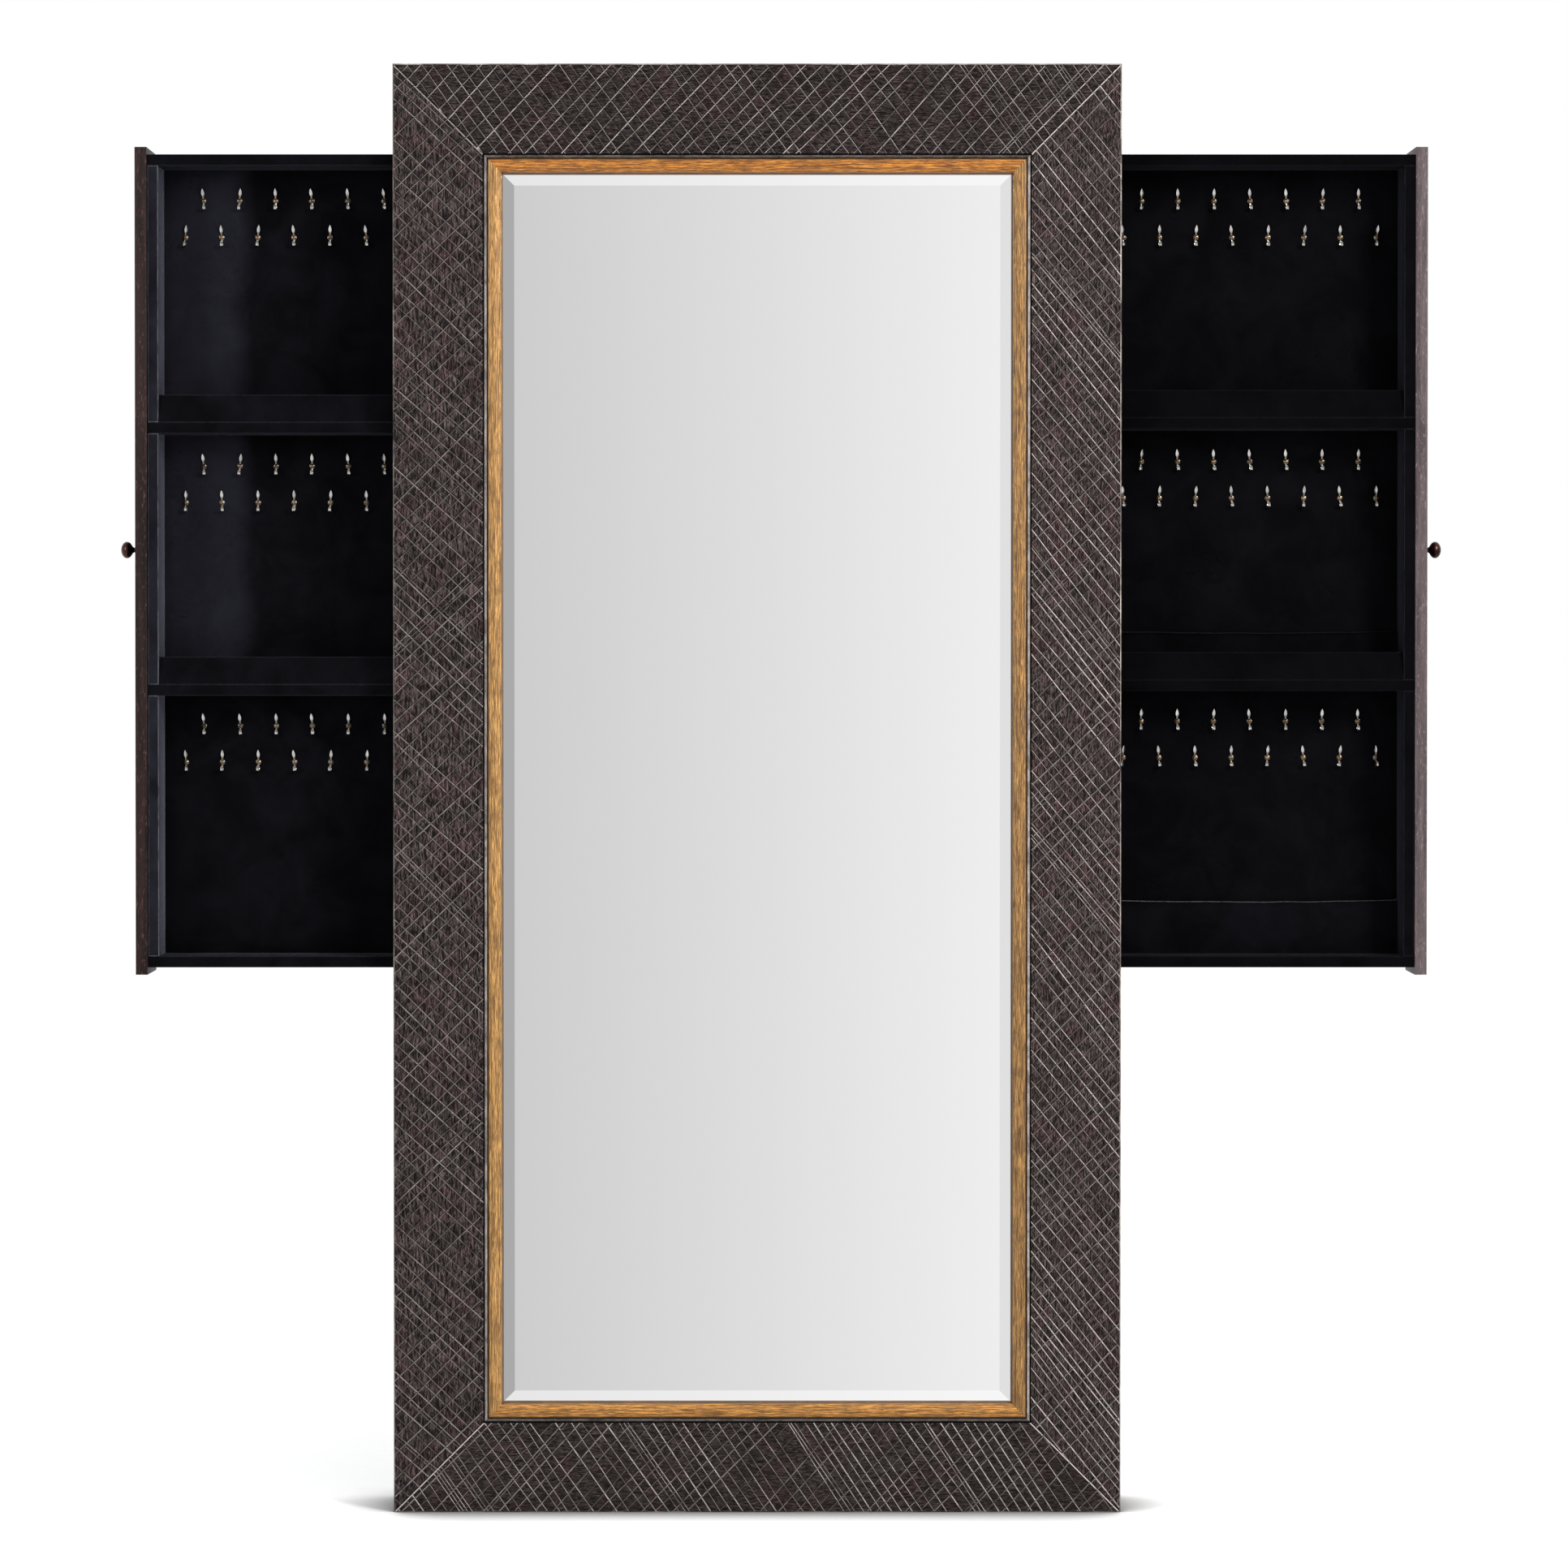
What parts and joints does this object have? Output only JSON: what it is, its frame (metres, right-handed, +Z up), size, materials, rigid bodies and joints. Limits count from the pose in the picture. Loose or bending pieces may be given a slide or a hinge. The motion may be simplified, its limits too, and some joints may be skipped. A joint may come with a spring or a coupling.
{
  "type": "jewelry armoire",
  "caption": "Tall floor mirror in a carved wood frame, with velvet-lined jewelry trays that slide out sideways from a shallow case behind the glass.",
  "frame": {"origin": "on the floor, at the middle of the mirror frame's width and of the case's depth", "axes": "+Z up along the mirror's height, the glass faces -Y, +X to the right as seen from the front"},
  "size_m": [2.017, 0.17, 2.19],
  "materials": {
    "carved_wood": "espresso stain, carved, satin",
    "gilt_wood": "antique gold, distressed",
    "mirror": "silvered, bevelled edge",
    "hardboard": "plain hardboard",
    "case_wood": "dark stain, satin",
    "steel": "zinc plated",
    "panel_wood": "walnut stain, satin",
    "velvet_board": "board wrapped in black velvet",
    "velvet": "black velvet",
    "bronze": "oil-rubbed bronze",
    "brass": "bright brass"
  },
  "bodies": {
    "mirror_case": {"frame_stile_left": "carved_wood", "frame_stile_right": "carved_wood", "frame_rail_top": "carved_wood", "frame_rail_bottom": "carved_wood", "liner_left": "gilt_wood", "liner_right": "gilt_wood", "liner_top": "gilt_wood", "liner_bottom": "gilt_wood", "mirror_glass": "mirror", "mirror_backing": "hardboard", "retainer_clips": "steel", "wood_screws": "steel", "case_top": "case_wood", "case_bottom": "case_wood", "case_side_left_lower": "case_wood", "case_side_right_lower": "case_wood", "case_side_left_upper": "case_wood", "case_side_right_upper": "case_wood", "case_divider_lower": "case_wood", "case_divider_upper": "case_wood", "centre_post": "case_wood", "back_panel": "case_wood", "slide_outer_rails": "steel", "wall_anchor_plates": "steel"},
    "left_drawer": {"left_front_panel": "panel_wood", "left_tray_top": "velvet_board", "left_tray_bottom": "velvet_board", "left_tray_side_outer": "velvet_board", "left_tray_side_inner": "velvet_board", "left_tray_back": "velvet_board", "left_shelf_upper": "velvet_board", "left_shelf_lower": "velvet_board", "left_fence_upper": "velvet_board", "left_fence_lower": "velvet_board", "left_lining": "velvet", "left_hooks": "bronze", "left_hook_screws": "brass", "left_knob": "bronze", "left_knob_screw": "steel", "left_slide_inner_rails": "steel"},
    "right_drawer": {"right_front_panel": "panel_wood", "right_tray_top": "velvet_board", "right_tray_bottom": "velvet_board", "right_tray_side_outer": "velvet_board", "right_tray_side_inner": "velvet_board", "right_tray_back": "velvet_board", "right_shelf_upper": "velvet_board", "right_shelf_lower": "velvet_board", "right_fence_upper": "velvet_board", "right_fence_lower": "velvet_board", "right_lining": "velvet", "right_hooks": "bronze", "right_hook_screws": "brass", "right_knob": "bronze", "right_knob_screw": "steel", "right_slide_inner_rails": "steel", "right_chain_pockets": "velvet"},
    "left_slide_middle": {"left_slide_middle_rails": "steel"},
    "right_slide_middle": {"right_slide_middle_rails": "steel"}
  },
  "joints": [
    {"name": "left_drawer_slide", "type": "slide", "parent": "mirror_case", "child": "left_drawer", "axis": [-1, 0, 0], "range_m": [-0.394, 0.073]},
    {"name": "right_drawer_slide", "type": "slide", "parent": "mirror_case", "child": "right_drawer", "axis": [1, 0, 0], "range_m": [-0.467, 0]},
    {"name": "left_slide_middle_travel", "type": "slide", "parent": "mirror_case", "child": "left_slide_middle", "axis": [-1, 0, 0], "range_m": [-0.197, 0.0365]},
    {"name": "right_slide_middle_travel", "type": "slide", "parent": "mirror_case", "child": "right_slide_middle", "axis": [1, 0, 0], "range_m": [-0.2335, 0]}
  ],
  "couplings": [
    {"joint": "left_slide_middle_travel", "follows": "left_drawer_slide", "ratio": 0.5},
    {"joint": "right_slide_middle_travel", "follows": "right_drawer_slide", "ratio": 0.5}
  ]
}
